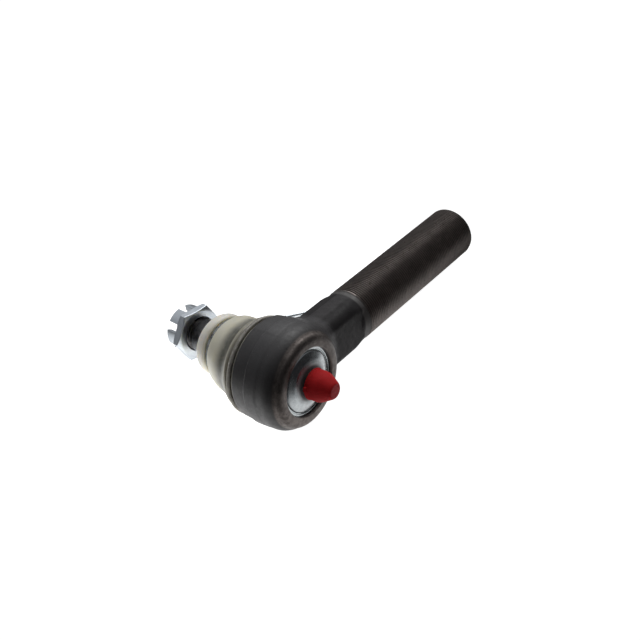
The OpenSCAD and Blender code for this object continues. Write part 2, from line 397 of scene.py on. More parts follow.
def flash_middle(x):
    """Where the trimmed flash runs: low on the eye, in the middle of the neck."""
    return flash_centre * (1 - smooth_step(x, 14, 34))


def flash_share(x, y, z):
    """1 on the trimmed flash band, 0 off it, with a slightly uneven edge."""
    way = np.arctan2(z, x) + x / 40
    wander = 0.22 * np.sin(5.3 * way + 0.7) + 0.12 * np.sin(17 * way) + 0.07 * np.sin(41 * way + 2)
    off = np.abs(y - flash_middle(x) - wander) - flash_half
    return 1 - smooth_step(off, -0.25, np.where(y > flash_middle(x), 0.25, 1.6))


def neck_distance(x, y, z):
    """The squarish neck, wider at its root, inside a round waist."""
    height = neck_top + 0.4 - 0.07 * np.abs(y) + 7.0 * np.clip((33 - x) / 20, 0, 1) ** 2
    across = np.abs(y) - (neck_side - neck_corner_r)
    above = np.abs(z) - (height - neck_corner_r)
    section = (np.hypot(np.maximum(across, 0), np.maximum(above, 0))
               + np.minimum(np.maximum(across, above), 0) - neck_corner_r)
    waist = neck_waist_r - 1.3 * smooth_step(x, thread_start - 12, thread_start - 3)
    waist = waist + 8 * np.clip((30 - x) / 12, 0, 1)
    section = round_max(section, np.hypot(y, z) - waist, 1.0)
    return round_max(section, np.maximum(-x, x - thread_start + 0.8), 0.6)


def forging_distance(p):
    x, y, z = p[..., 0], p[..., 1], p[..., 2]
    r = np.sqrt(x * x + z * z)
    flash = flash_height * flash_share(x, y, z)
    drop = np.clip(y, 0, eye_back) / eye_back
    rear = rear_step * smooth_step(y - flash_middle(x), flash_half - 0.4, flash_half + 0.3)
    draft = side_draft * np.abs(y - flash_centre)
    side = r - (eye_r - flash_height - 0.08 - draft - rear - 0.55 * drop ** 1.6)
    shoulder = 0.80 * (r - eye_r - 0.2) - 0.60 * (y + 11.6)
    eye = round_max(side, shoulder, 1.8)
    eye = round_max(eye, lip_root_y - y, 0.8)
    body = round_min(eye, neck_distance(x, y, z), 7.0) - flash
    body = round_max(body, y - eye_back, 0.8)
    lip = round_max(r - lip_outer_r, eye_front - y, 4.4)
    lip = round_max(lip, y + 10, 0.5)
    body = round_min(body, lip, 0.7)
    relief = np.maximum(np.maximum(eye_back - y, r - relief_r), spigot_r - 0.5 - r)
    body = round_max(body, -relief, 0.6)
    spigot = round_max(round_max(r - spigot_r, y - spigot_end, 0.8), -y, 0.5)
    body = round_min(body, spigot, 0.6)
    around = np.hypot(y, z)
    ring_span = np.maximum(ring_start - 2 - x, x - thread_start)
    ring = round_max(around - (ring_r + 0.56 * (x - ring_start)), ring_span, 0.3)
    body = round_min(body, ring, 0.5)
    bore = np.maximum(r - bore_r, np.maximum(cover_shoulder_y - 0.2 - y, y - bore_back))
    step = np.maximum(r - cover_seat_r, np.maximum(cover_seat_y - y, y - cover_shoulder_y))
    opening = np.maximum(r - lip_open_r, y + 16.5)
    mouth = np.maximum(r - (mouth_r + mouth_flare * (y - 7)), 6.5 - y)
    body = round_max(body, -opening, 0.9)
    return np.maximum(body, -np.minimum(np.minimum(bore, step), mouth))


def make_forging():
    """The forging without its thread, with the marks that its material needs."""
    low = np.array([-eye_r - 1, eye_front - 1, -eye_r - 1.05])
    high = np.array([thread_start + 1, spigot_end + 1.1, eye_r + 1])
    forging = net_object("forged_eye_and_neck", forging_distance, low, high, fine(0.42))
    x, y, z = vertex_array(forging).T
    r = np.hypot(x, z)
    set_attribute(forging, "flash", flash_share(x, y, z))
    edge = np.exp(-((y - flash_middle(x) - flash_half) / 0.35) ** 2)
    set_attribute(forging, "edge", edge * (1 - smooth_step(x, 10, 24)))
    # The neck mask, which the material uses to paint shade on the neck.
    set_attribute(forging, "neck", smooth_step(x, 25, 33) * smooth_step(-x, -ring_start, 1.2 - ring_start))
    worn_lip = smooth_step(-r, -lip_worn_r - 0.3, 0.4 - lip_worn_r)
    set_attribute(forging, "bare", smooth_step(-y, 13.4, 14.2) * worn_lip)
    ring = smooth_step(x, ring_start - 1, ring_start)
    back = smooth_step(y, eye_back - 0.3, eye_back)
    set_attribute(forging, "turned", np.maximum(ring, back))
    # Darker in a narrow ring round the root of the rolled lip.
    set_attribute(forging, "dark_marks", 0.8 * np.exp(-((r - lip_worn_r) / 0.5) ** 2 - (y + 13.9) ** 2))
    return forging


# ------------------------------------------------------ smaller distance fields

def hexagon(x, z, flats, first_corner):
    """Distance to a hexagonal bar about Y."""
    sixth = math.pi / 3
    from_corner = np.mod(np.arctan2(z, x) - math.radians(first_corner), sixth)
    return np.hypot(x, z) * np.cos(from_corner - sixth / 2) - flats / 2


# Castle nut: its hexagon, crown and slots
nut_flats = 27.0
nut_hex_end = nut_near + 5.0
crown_r = 12.5
slot_w = 4.5
nut_corner = 59


def nut_distance(p):
    x, y, z = p[..., 0], p[..., 1], p[..., 2]
    r = np.hypot(x, z)
    near_chamfer = 0.417 * (r - nut_flats / 2 + 0.4) - 0.909 * (y - nut_near)
    far_chamfer = 0.384 * (r - nut_flats / 2 - 0.2) + 0.924 * (y - nut_hex_end)
    nut = round_max(hexagon(x, z, nut_flats, nut_corner), np.maximum(near_chamfer, far_chamfer), 0.3)
    nut = round_max(nut, np.maximum(nut_near - y, y - nut_hex_end), 0.35)
    crown = round_max(r - crown_r, y - nut_far, 0.5)
    crown = np.maximum(crown, 0.6 * (r - crown_r + 0.4) + 0.8 * (y - nut_far))
    crown = np.maximum(crown, nut_near + 2 - y)
    nut = round_min(nut, crown, 0.5)
    for k in range(3):
        angle = math.radians(nut_corner + 30 + 60 * k)
        across = np.abs(-x * math.sin(angle) + z * math.cos(angle))
        cut = round_max(across - slot_w / 2, nut_hex_end - 0.3 - y, 1.2)
        nut = round_max(nut, -cut, 0.3)
    turn = np.arctan2(z, x) / (2 * math.pi)
    groove = 0.10 * (1 + np.sin(2 * math.pi * (y / stud_pitch + turn)))
    mouth = np.maximum(nut_near + 0.5 - y, y - nut_far + 0.5)
    bore = r - (stud_r + 0.03 + groove + np.clip(mouth, 0, 0.5))
    return round_max(nut, -bore, 0.15)


def make_nut():
    reach = nut_flats / 2 / math.cos(math.pi / 6) + 1
    low = np.array([-reach, nut_near - 1, -reach - 0.05])
    high = np.array([reach, nut_far + 1, reach])
    return lean(net_object("castle_nut_body", nut_distance, low, high, fine(0.24)))


# Cap: outside and hollow from base to tip, its bead and its small nib
cap_outline = [(7.7, cap_base - 0.9), (7.9, cap_base - 1.8), (8.0, -26.0), (7.6, -27.8),
               (4.4, cap_tip + 0.5), (3.8, cap_tip)]
cap_hollow = [(6.75, cap_base + 1), (6.75, -26.5), (4.2, -30.4), (3.6, -32.4)]
bead_y = cap_base - 1.4
nib_y = cap_base - 2.0
nib_turn = math.radians(13)


def convex_profile(r, y, outline, soft):
    """Distance to a convex solid of revolution whose outline runs from its base to its tip."""
    shape = round_max(y - outline[0][1], outline[-1][1] - y, soft)
    for (r0, y0), (r1, y1) in zip(outline, outline[1:]):
        length = math.hypot(r1 - r0, y1 - y0)
        shape = round_max(shape, ((r - r0) * (y0 - y1) + (y - y0) * (r1 - r0)) / length, soft)
    return shape


def cap_distance(p):
    x, y, z = p[..., 0], p[..., 1], p[..., 2]
    r = np.hypot(x, z)
    cap = convex_profile(r, y, cap_outline, 0.5)
    out = z * math.sin(nib_turn) - x * math.cos(nib_turn)
    side = x * math.sin(nib_turn) + z * math.cos(nib_turn)
    nib = np.maximum(np.abs(out - 7.9) - 0.9, np.maximum(np.abs(y - nib_y) - 0.8, np.abs(side) - 1.2))
    bead = np.hypot(r - 7.9, y - bead_y) - 0.32
    cap = round_min(round_min(cap, nib, 0.5), bead, 0.5)
    return round_max(cap, -convex_profile(r, y, cap_hollow, 0.5), 0.3)


def make_cap():
    low = np.array([-9.9, cap_tip - 1, -9.95])
    high = np.array([9.9, cap_base + 1, 9.9])
    cap = net_object("red_cap", cap_distance, low, high, fine(0.24))
    y = vertex_array(cap)[:, 1]
    set_attribute(cap, "tip", smooth_step(-y, -cap_tip - 0.25, -cap_tip - 0.05))
    return cap


# Grease nipple: where its hexagon starts and ends, and the end of its neck and head
nipple_hex_start = -20.0
nipple_hex_end = -25.5
nipple_neck_end = nipple_hex_end - 2.6
nipple_tip = -32


def nipple_distance(p):
    x, y, z = p[..., 0], p[..., 1], p[..., 2]
    r = np.hypot(x, z)
    chamfer = 0.5 * (r - 5.6) + 0.866 * np.maximum(y - nipple_hex_start, nipple_hex_end - y)
    collar = round_max(hexagon(x, z, 11.0, 0), chamfer, 0.25)
    collar = round_max(collar, np.maximum(y - nipple_hex_start, nipple_hex_end - y), 0.25)
    neck_span = np.maximum(y - nipple_hex_end - 0.5, nipple_neck_end - 0.3 - y)
    neck = np.maximum(0.84 * (r - 2.7) - 0.55 * (y - nipple_neck_end), neck_span)
    head = round_max(r - 3.35, 0.79 * (r - 1.7) - 0.62 * (y - nipple_tip), 0.4)
    head = round_max(head, 0.84 * (r - 2.7) + 0.55 * (y - nipple_neck_end), 0.3)
    head = round_max(head, np.maximum(nipple_tip - y, y - nipple_neck_end - 0.5), 0.2)
    thread = 0.17 * (1 + np.sin(2 * math.pi * (y + np.arctan2(z, x) / (2 * math.pi))))
    stem = np.maximum(r - 5 + thread, np.maximum(y + 15, nipple_hex_start - 0.5 - y))
    body = round_min(round_min(collar, stem, 0.2), round_min(neck, head, 0.4), 0.4)
    hole = np.where(y > -21, r - 0.9, r - np.clip(0.9 + 0.7 * (y + 31), 0.9, 1.6))
    return np.maximum(body, -hole)


def make_nipple():
    low = np.array([-7.4, nipple_tip - 1, -7.45])
    high = np.array([7.4, -14, 7.4])
    return net_object("grease_nipple", nipple_distance, low, high, fine(0.2))


# --------------------------------------------------- turned, wound and cut parts

def make_shank_thread():
    before = [(thread_start, 0), (thread_start, shank_r - 0.02)]
    vertices, faces = threaded_bar(before, thread_start, shank_end, shank_r, shank_pitch,
                                   end_r=13.5, dimple=2.2, segments=int(96 / fine(1)))
    thread = new_object("shank_thread", vertices, faces, 40, merge=1e-4)
    v = vertex_array(thread)
    # The crest mask: the material paints the crests brighter, partly as a painted highlight.
    set_attribute(thread, "crest", smooth_step(np.hypot(v[:, 1], v[:, 2]), shank_r - 0.6, shank_r - 0.1))
    return thread


def make_stud():
    """Ball, neck, 1:10 taper and thread in one piece, with a cross hole for the split pin."""
    ball = [(ball_r * math.sin(t), -ball_r * math.cos(t), 0) for t in np.linspace(0, 2.51, 40)]
    shape = rounded(ball + [(8.0, 12.2, 1.0), (8.0, 18.0, 4.0), (10.4, 24.4, 1.0), (10.87, 26.0, 0.6),
                            (9.3, taper_end, 0.3), (8.1, taper_end + 0.2, 0.1), (8.1, taper_end + 0.9, 0)])
    before = [(y, r) for r, y in shape]
    vertices, faces = threaded_bar(before, taper_end + 0.9, stud_end, stud_r - 0.03, stud_pitch,
                                   end_r=7.75, dimple=2.0)
    stud = new_object("taper_stud", along_y(vertices), faces, 40, merge=1e-4)
    count = 32
    reach = 12
    turn = np.linspace(0, 2 * math.pi, count, endpoint=False)
    ring = np.stack([pin_hole_r * np.cos(turn), pin_hole_y + pin_hole_r * np.sin(turn), 0 * turn], -1)
    ends = np.vstack([ring - [0, 0, reach], ring + [0, 0, reach]])
    sides = [(j, (j + 1) % count, count + (j + 1) % count, count + j) for j in range(count)]
    lids = [tuple(range(count - 1, -1, -1)), tuple(range(count, 2 * count))]
    drill = new_object("drill", ends, sides + lids)
    cut = stud.modifiers.new("cross_hole", "BOOLEAN")
    cut.operation, cut.solver, cut.object = "DIFFERENCE", "EXACT", drill
    apply_modifiers(stud)
    bpy.data.objects.remove(drill)
    return lean(stud)


def apply_modifiers(thing):
    depsgraph = bpy.context.evaluated_depsgraph_get()
    mesh = bpy.data.meshes.new_from_object(thing.evaluated_get(depsgraph))
    thing.modifiers.clear()
    thing.data = mesh
    shape = bmesh.new()
    shape.from_mesh(mesh)
    finish_shading(shape, 40)
    shape.to_mesh(mesh)
    shape.free()


def make_cover():
    """Domed closing plate with a crease at the foot of the dome."""
    outline = rounded([(5.0, -19.6, 0.15), (8.2, -19.6, 6.0), (10.2, -19.35, 8.0), (12.2, -18.85, 8.0),
                       (14.2, -18.1, 6.0), (15.7, -17.55, 1.5), (16.3, -16.9, 0.3), (16.35, -16.6, 0.05),
                       (16.75, -16.6, 0.05), (16.85, -17.2, 0.25), (18.7, -17.2, 0.3), (18.7, -16.0, 0.3),
                       (5.9, -16.0, 0.2), (5.9, -15.0, 0.2), (5.0, -15.0, 0.1)], 6)
    cover = lathe("closing_plate", outline, closed=True)
    v = vertex_array(cover)
    r = np.hypot(v[:, 0], v[:, 2])
    # Painted shadow: a dark ring on the plate round the foot of the cap.
    set_attribute(cover, "painted_cap_shade", 1 - smooth_step(r, 8.4, 10.2))
    set_attribute(cover, "worn", 1 - smooth_step(r, 10.2, 11.6))
    return cover


def make_boot():
    """The boot's wall, outside and inside, with its base flange, fold, spring groove and thick lip."""
    outside = [(21.65, 9.65, 0.1), (25.0, 9.65, 0.3), (25.0, 10.6, 0.4), (23.1, 11.0, 0.3),
               (23.1, 13.7, 0.3), (24.0, 14.1, 0.3), (24.4, 15.1, 0.6), (24.1, 16.3, 0.6),
               (22.9, 17.6, 1.6), (21.4, 20.0, 4.0), (20.7, 23.5, 6.0), (20.5, 28.0, 6.0),
               (19.6, 32.0, 4.0), (18.0, 34.8, 2.0), (16.4, 36.2, 0.8), (13.65, 36.9, 0.4),
               (13.65, 39.1, 0.4), (16.2, 39.5, 0.6), (16.85, 40.8, 1.2), (16.9, 43.5, 2.0),
               (16.2, 45.2, 1.6), (14.6, 46.0, 1.2)]
    inside = [(10.7, 46.0, 0.5), (10.7, 39.1, 0.8), (11.85, 36.9, 0.6), (11.85, 35.9, 0.8),
              (16.8, 33.4, 2.0), (18.2, 31.0, 2.5), (18.7, 28.0, 3.0), (18.8, 25.0, 4.0),
              (20.2, 19.0, 5.0), (21.65, 15.8, 0.8)]
    outline = np.array(rounded(outside + inside, 6))
    finer = []
    for a, b in zip(outline, np.roll(outline, -1, axis=0)):
        pieces = max(1, int(np.linalg.norm(b - a) / 0.8))
        finer += [a + (b - a) * k / pieces for k in range(pieces)]
    boot = lathe("dust_boot_skin", finer, closed=True, segments=int(144 / fine(1)), sharp_angle=50)
    y = vertex_array(boot)[:, 1]
    # Painted shade: a grey band across the middle of the boot.
    set_attribute(boot, "painted_shade_band", smooth_step(y, 16.8, 18.6) * smooth_step(-y, -27.5, -21.5))
    # Painted light: the thick lip is painted paler, as if lit through.
    set_attribute(boot, "lip", smooth_step(y, 38.5, 41.5))
    # Painted shade: the foot of the boot is painted darker.
    set_attribute(boot, "foot", 1 - smooth_step(y, 15.5, 18.0))
    return lean(boot, smooth_step(y, bend_start, bend_end))


# Split pin: where it lies, and its turn and dip in degrees
pin_at = (51.9, 48.4, -12.9)
pin_turn = -34
pin_dip = 3.2


def make_pin():
    """Split pin: half-round wire bent into an eye and two legs of unequal length."""
    wire_r, eye_r_in, fillet, slit = 0.98, 1.7, 1.35, 0.06
    length = 32.0
    reach = math.sqrt((eye_r_in + fillet) ** 2 - (fillet + slit) ** 2)
    eye_x = 0.4 - reach
    meet = math.atan2(fillet + slit, reach)
    path = [(length - 2.2, slit), (length * 0.6, slit), (length * 0.3, slit)]
    path += [(0.4 - fillet * math.sin(t), slit + fillet - fillet * math.cos(t))
             for t in np.linspace(0, math.pi / 2 - meet, 10)]
    path += [(eye_x + eye_r_in * math.cos(t), eye_r_in * math.sin(t))
             for t in np.linspace(meet, 2 * math.pi - meet, 48)]
    path += [(0.4 - fillet * math.sin(t), -slit - fillet + fillet * math.cos(t))
             for t in np.linspace(math.pi / 2 - meet, 0, 10)]
    path += [(length * 0.3, -slit), (length * 0.6, -slit), (length, -slit)]
    path = np.array(path)
    ahead = np.gradient(path, axis=0)
    ahead /= np.linalg.norm(ahead, axis=1, keepdims=True)
    out = np.stack([ahead[:, 1], -ahead[:, 0]], -1)
    section = [(wire_r * math.sin(t), wire_r * math.cos(t)) for t in np.linspace(0, math.pi, 13)]
    sides = len(section)
    vertices = [(*(p + o * a), b) for p, o in zip(path, out) for a, b in section]
    faces = grid_faces(len(path), sides, False)
    faces += [tuple(range(sides)), tuple((len(path) - 1) * sides + np.arange(sides))]
    turn = Matrix.Rotation(math.radians(pin_turn), 3, "Z") @ Matrix.Rotation(math.radians(pin_dip), 3, "Y")
    vertices = [turn @ Vector(v) + Vector(pin_at) for v in vertices]
    return new_object("split_pin_wire", vertices, faces, 50)


# ------------------------------------------------------------ shaders by nodes

def set_input(tree, node, name, value):
    socket = node.inputs[name]
    if isinstance(value, bpy.types.NodeSocket):
        tree.links.new(value, socket)
    else:
        socket.default_value = value


def new_node(tree, kind, output=0, settings=(), **inputs):
    node = tree.nodes.new(kind)
    for name, value in dict(settings).items():
        setattr(node, name, value)
    for name, value in inputs.items():
        set_input(tree, node, int(name[1:]) if name[0] == "_" else name.replace("_", " "), value)
    return node.outputs[output]


def place(tree, stretch=(1, 1, 1), leaning=False):
    """Object coordinates in millimetres, stretched, and first turned upright for a leaning piece."""
    spot = new_node(tree, "ShaderNodeTexCoord", "Object")
    if leaning:
        spot = new_node(tree, "ShaderNodeMapping", 0, Vector=spot, Rotation=(0, 0, stud_lean))
    scale = tuple(s / MM for s in stretch)
    return new_node(tree, "ShaderNodeMapping", 0, Vector=spot, Scale=scale)


def noise(tree, size, detail=4, rough=0.6, stretch=(1, 1, 1), twist=0.0, leaning=False):
    """Noise between 0 and 1 with features of about size millimetres."""
    return new_node(tree, "ShaderNodeTexNoise", 0, Vector=place(tree, stretch, leaning), Scale=1 / size,
                    Detail=detail, Roughness=rough, Distortion=twist)


def cells(tree, size, stretch=(1, 1, 1)):
    """Distance to the nearest of scattered points that are about size millimetres apart."""
    return new_node(tree, "ShaderNodeTexVoronoi", 0, Vector=place(tree, stretch), Scale=1 / size)


def attribute(tree, name):
    return new_node(tree, "ShaderNodeAttribute", "Fac", {"attribute_name": name})


def remap(tree, value, low, high, to_low=0.0, to_high=1.0):
    return new_node(tree, "ShaderNodeMapRange", 0, Value=value, From_Min=low, From_Max=high,
                    To_Min=to_low, To_Max=to_high)


def arithmetic(tree, operation, a, b):
    return new_node(tree, "ShaderNodeMath", 0, {"operation": operation}, _0=a, _1=b)


def times(tree, a, b):
    return arithmetic(tree, "MULTIPLY", a, b)


def mix(tree, share, a, b, blend="MIX"):
    node = tree.nodes.new("ShaderNodeMix")
    node.data_type = "RGBA"
    node.blend_type = blend
    for index, value in ((0, share), (6, a), (7, b)):
        if isinstance(value, bpy.types.NodeSocket):
            tree.links.new(value, node.inputs[index])
        elif index:
            node.inputs[index].default_value = (*value, 1)
        else:
            node.inputs[index].default_value = value
    return node.outputs[2]


def bump(tree, height, depth, normal=None):
    """Bump of a height from 0 to 1, depth millimetres high."""
    node = tree.nodes.new("ShaderNodeBump")
    node.inputs["Strength"].default_value = 1.0
    node.inputs["Distance"].default_value = depth * MM
    tree.links.new(height, node.inputs["Height"])
    if normal is not None:
        tree.links.new(normal, node.inputs["Normal"])
    return node.outputs[0]


def shader(name, **constants):
    """A new material. Returns it with its tree and its Principled shader."""
    material = bpy.data.materials.new(name)
    material.use_nodes = True
    tree = material.node_tree
    surface = tree.nodes["Principled BSDF"]
    for key, value in constants.items():
        surface.inputs[key.replace("_", " ")].default_value = value
    return material, tree, surface


def forged_steel():
    """Black phosphated forging: satin and mottled, with the rolled lip left as bare worn steel."""
    material, tree, surface = shader("forged_black")
    mottle = remap(tree, noise(tree, 9, 6, 0.65), 0.3, 0.7)
    grain = noise(tree, 0.7, 3, 0.7)
    black = mix(tree, mottle, (0.0165, 0.0150, 0.0155), (0.030, 0.0275, 0.028))
    black = mix(tree, remap(tree, grain, 0.35, 0.75, 0.0, 0.35), black, (0.052, 0.049, 0.049))
    flash = times(tree, attribute(tree, "flash"), remap(tree, noise(tree, 3, 4), 0.3, 0.7, 0.45, 1.0))
    black = mix(tree, flash, black, (0.036, 0.034, 0.035))
    black = mix(tree, times(tree, attribute(tree, "turned"), 0.85), black, (0.052, 0.047, 0.044))
    wear = remap(tree, noise(tree, 3.2, 6, 0.7, twist=0.6), 0.40, 0.62)
    bare = mix(tree, wear, (0.085, 0.071, 0.064), (0.175, 0.152, 0.138))
    bare = mix(tree, remap(tree, noise(tree, 12, 2), 0.42, 0.6, 0, 0.55), bare, (0.060, 0.052, 0.048))
    pits = remap(tree, cells(tree, 2.6), 0.16, 0.09)
    bare = mix(tree, times(tree, pits, remap(tree, noise(tree, 7), 0.5, 0.56)), bare,
               (0.012, 0.009, 0.008))
    lip = attribute(tree, "bare")
    colour = mix(tree, lip, black, bare)
    # Darkens a narrow ring round the root of the rolled lip.
    colour = mix(tree, attribute(tree, "dark_marks"), colour, (0.020, 0.016, 0.014))
    specks = times(tree, remap(tree, cells(tree, 3.4), 0.055, 0.035),
                  remap(tree, noise(tree, 8), 0.52, 0.6))
    colour = mix(tree, times(tree, specks, 0.7), colour, (0.22, 0.21, 0.20))
    scratch = noise(tree, 1.1, 2, 0.4, stretch=(1, 0.05, 1))
    scratch = times(tree, remap(tree, scratch, 0.69, 0.75), remap(tree, noise(tree, 5), 0.55, 0.65))
    colour = mix(tree, times(tree, scratch, 0.35), colour, (0.16, 0.155, 0.15))
    colour = mix(tree, times(tree, attribute(tree, "edge"), remap(tree, noise(tree, 2.5, 4), 0.4, 0.65)),
                 colour, (0.085, 0.080, 0.080))
    # Painted shade: the neck is darkened towards black and its specular level lowered.
    neck = attribute(tree, "neck")
    colour = mix(tree, times(tree, neck, 0.3), colour, (0.004, 0.0035, 0.004))
    trimmed = times(tree, times(tree, neck, flash), remap(tree, grain, 0.3, 0.7, 0.4, 1.0))
    colour = mix(tree, trimmed, colour, (0.056, 0.052, 0.053))
    tree.links.new(colour, surface.inputs["Base Color"])
    tree.links.new(remap(tree, neck, 0, 1, 0.5, 0.10), surface.inputs["Specular IOR Level"])
    rough = remap(tree, noise(tree, 2.2, 5), 0.3, 0.7, 0.42, 0.60)
    tree.links.new(arithmetic(tree, "SUBTRACT", rough, times(tree, lip, 0.07)), surface.inputs["Roughness"])
    tree.links.new(times(tree, lip, 0.75), surface.inputs["Metallic"])
    skin = bump(tree, noise(tree, 0.55, 5, 0.7), 0.05)
    skin = bump(tree, noise(tree, 4.5, 3), 0.10, skin)
    tree.links.new(bump(tree, pits, -0.05, skin), surface.inputs["Normal"])
    return material


def cut_thread():
    """Rolled thread: oily black flanks and browner, brighter crests; the crests' colour is partly rubbed
    metal and partly a painted highlight.
    """
    material, tree, surface = shader("thread_black", Specular_IOR_Level=0.5)
    crest = attribute(tree, "crest")
    worn = remap(tree, noise(tree, 6, 5, 0.65), 0.35, 0.65, 0.70, 1.0)
    # Painted highlight: brighter, browner crests, partly rubbed metal and partly the light lines they catch.
    colour = mix(tree, times(tree, crest, worn), (0.006, 0.0052, 0.005), (0.165, 0.138, 0.124))
    colour = mix(tree, remap(tree, noise(tree, 1.2, 4), 0.55, 0.75, 0.0, 0.15), colour, (0.045, 0.038, 0.034))
    nicks = times(tree, crest, remap(tree, noise(tree, 2.4, 5, 0.75, twist=1.0), 0.66, 0.72))
    colour = mix(tree, nicks, colour, (0.21, 0.185, 0.165))
    tree.links.new(colour, surface.inputs["Base Color"])
    tree.links.new(times(tree, crest, 0.55), surface.inputs["Metallic"])
    tree.links.new(remap(tree, noise(tree, 1.5, 4), 0.3, 0.7, 0.26, 0.38), surface.inputs["Roughness"])
    tree.links.new(bump(tree, noise(tree, 0.5, 4, 0.7), 0.03), surface.inputs["Normal"])
    return material


def plated(name, dull, bright, rough_low, rough_high, cloud=5.0, dark_marks=0.5, grain=0.02, waves=0.05,
           painted_cap_shade=False):
    """Zinc plate: cloudy reflections, small stains and a fine grain.

    With the flag set, the piece's attribute of that name paints a dark ring round the foot of the cap, a
    painted shadow, and its "worn" attribute makes it matt.
    """
    material, tree, surface = shader(name, Metallic=1.0)
    clouds = remap(tree, noise(tree, cloud, 5, 0.6, twist=0.8), 0.3, 0.7)
    colour = mix(tree, clouds, dull, bright)
    stain = remap(tree, noise(tree, cloud * 0.35, 6, 0.75), 0.60, 0.72, 0.0, dark_marks)
    colour = mix(tree, stain, colour, tuple(c * 0.42 for c in dull))
    specks = times(tree, remap(tree, cells(tree, 1.7), 0.12, 0.05),
                  remap(tree, noise(tree, 4), 0.52, 0.6, 0.0, dark_marks))
    colour = mix(tree, specks, colour, (0.05, 0.045, 0.04))
    rough = remap(tree, noise(tree, cloud * 0.6, 5), 0.3, 0.7, rough_low, rough_high)
    if painted_cap_shade:
        worn = attribute(tree, "worn")
        rough = arithmetic(tree, "ADD", rough, times(tree, worn, 0.16))
        tree.links.new(remap(tree, worn, 0, 1, 1.0, 0.55), surface.inputs["Metallic"])
        # Painted shadow of the cap: the ring round its foot is darkened and made rougher.
        cap_shade_share = attribute(tree, "painted_cap_shade")
        colour = mix(tree, times(tree, cap_shade_share, 0.75), colour, (0.07, 0.06, 0.058))
        rough = arithmetic(tree, "ADD", rough, times(tree, cap_shade_share, 0.25))
    tree.links.new(colour, surface.inputs["Base Color"])
    tree.links.new(rough, surface.inputs["Roughness"])
    skin = bump(tree, noise(tree, 0.35, 4, 0.7), grain)
    tree.links.new(bump(tree, noise(tree, cloud, 3), waves, skin), surface.inputs["Normal"])
    return material


def turned_steel(name, dark, bright, rough, ring=0.5, leaning=False):
    """Ground or turned steel with fine rings round the Y axis and oil stains."""
    material, tree, surface = shader(name, Metallic=1.0)
    rings = noise(tree, ring, 3, 0.6, stretch=(0.02, 1.0, 0.02), leaning=leaning)
    stain = remap(tree, noise(tree, 4, 5, 0.65, twist=0.5), 0.38, 0.62)
    colour = mix(tree, stain, dark, bright)
    colour = mix(tree, remap(tree, rings, 0.3, 0.7, 0.0, 0.35), colour, bright)
    tree.links.new(colour, surface.inputs["Base Color"])
    tree.links.new(remap(tree, rings, 0.3, 0.7, rough, rough + 0.14), surface.inputs["Roughness"])
    tree.links.new(bump(tree, rings, 0.02), surface.inputs["Normal"])
    return material


def moulded(name, colours, rough, grain=0.03, subsurface=0.0, radius=(1, 1, 1), mark=None, shine=0.45):
    """Moulded plastic or rubber with slow colour changes and a fine skin."""
    material, tree, surface = shader(name, Specular_IOR_Level=shine, Subsurface_Weight=subsurface,
                                     Subsurface_Scale=MM, Subsurface_Radius=radius)
    colour = mix(tree, remap(tree, noise(tree, 6, 4), 0.3, 0.7), *colours)
    dust = remap(tree, noise(tree, 1.3, 5, 0.7), 0.60, 0.72, 0.0, 0.25)
    colour = mix(tree, dust, colour, tuple(min(1.0, c * 1.5 + 0.02) for c in colours[1]))
    if mark:
        share = times(tree, attribute(tree, mark[0]), mark[2])
        colour = mix(tree, share, colour, mark[1])
    tree.links.new(colour, surface.inputs["Base Color"])
    tree.links.new(remap(tree, noise(tree, 2, 4), 0.3, 0.7, rough, rough + 0.12), surface.inputs["Roughness"])
    skin = bump(tree, noise(tree, 0.4, 3, 0.6), grain)
    tree.links.new(bump(tree, noise(tree, 5, 2), 0.06, skin), surface.inputs["Normal"])
    return material


def boot_rubber():
    """Cream translucent polyurethane. Painted shade greys a band across the middle of the wall, standing for
    the dark joint seen through it; painted light makes the thick lip paler; painted shade darkens the foot.
    """
    material, tree, surface = shader("boot_polyurethane", Specular_IOR_Level=0.5, Subsurface_Weight=0.75,
                                     Subsurface_Scale=MM, Subsurface_Radius=(5.0, 4.4, 3.2))
    cream = mix(tree, remap(tree, noise(tree, 10, 3), 0.3, 0.7), (0.61, 0.575, 0.455), (0.71, 0.675, 0.555))
    # Painted shade: a grey band across the middle of the wall, standing for the dark joint seen through it.
    shade = times(tree, attribute(tree, "painted_shade_band"), remap(tree, noise(tree, 8, 3), 0.3, 0.7, 0.75, 1.0))
    colour = mix(tree, shade, cream, (0.060, 0.060, 0.048))
    # Painted light: the thick lip is painted paler, as if lit through.
    colour = mix(tree, times(tree, attribute(tree, "lip"), 0.9), colour, (0.84, 0.81, 0.74))
    # Painted shade: the foot of the boot is painted darker.
    colour = mix(tree, times(tree, attribute(tree, "foot"), 0.85), colour, (0.15, 0.14, 0.115))
    smear = remap(tree, noise(tree, 3.0, 5, 0.7, stretch=(1, 0.35, 1)), 0.58, 0.74, 0.0, 0.35)
    colour = mix(tree, smear, colour, (0.36, 0.33, 0.26))
    specks = times(tree, remap(tree, cells(tree, 3.1), 0.07, 0.04),
                  remap(tree, noise(tree, 9), 0.5, 0.58))
    colour = mix(tree, times(tree, specks, 0.8), colour, (0.10, 0.085, 0.06))
    tree.links.new(colour, surface.inputs["Base Color"])
    tree.links.new(remap(tree, noise(tree, 3, 4), 0.3, 0.7, 0.30, 0.44), surface.inputs["Roughness"])
    skin = bump(tree, noise(tree, 0.8, 3), 0.02)
    tree.links.new(bump(tree, noise(tree, 6, 2), 0.12, skin), surface.inputs["Normal"])
    return material


# ------------------------------------------------------------------- assembly

def dress(thing, material, body, slot, *nodes):
    """Gives a finished piece its material and its body, and hides the CAD nodes it stands for. The slot is
    not used.
    """
    thing.data.materials.clear()
    thing.data.materials.append(material)
    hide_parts(*nodes)
    if body:
        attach(thing, body)
    return thing


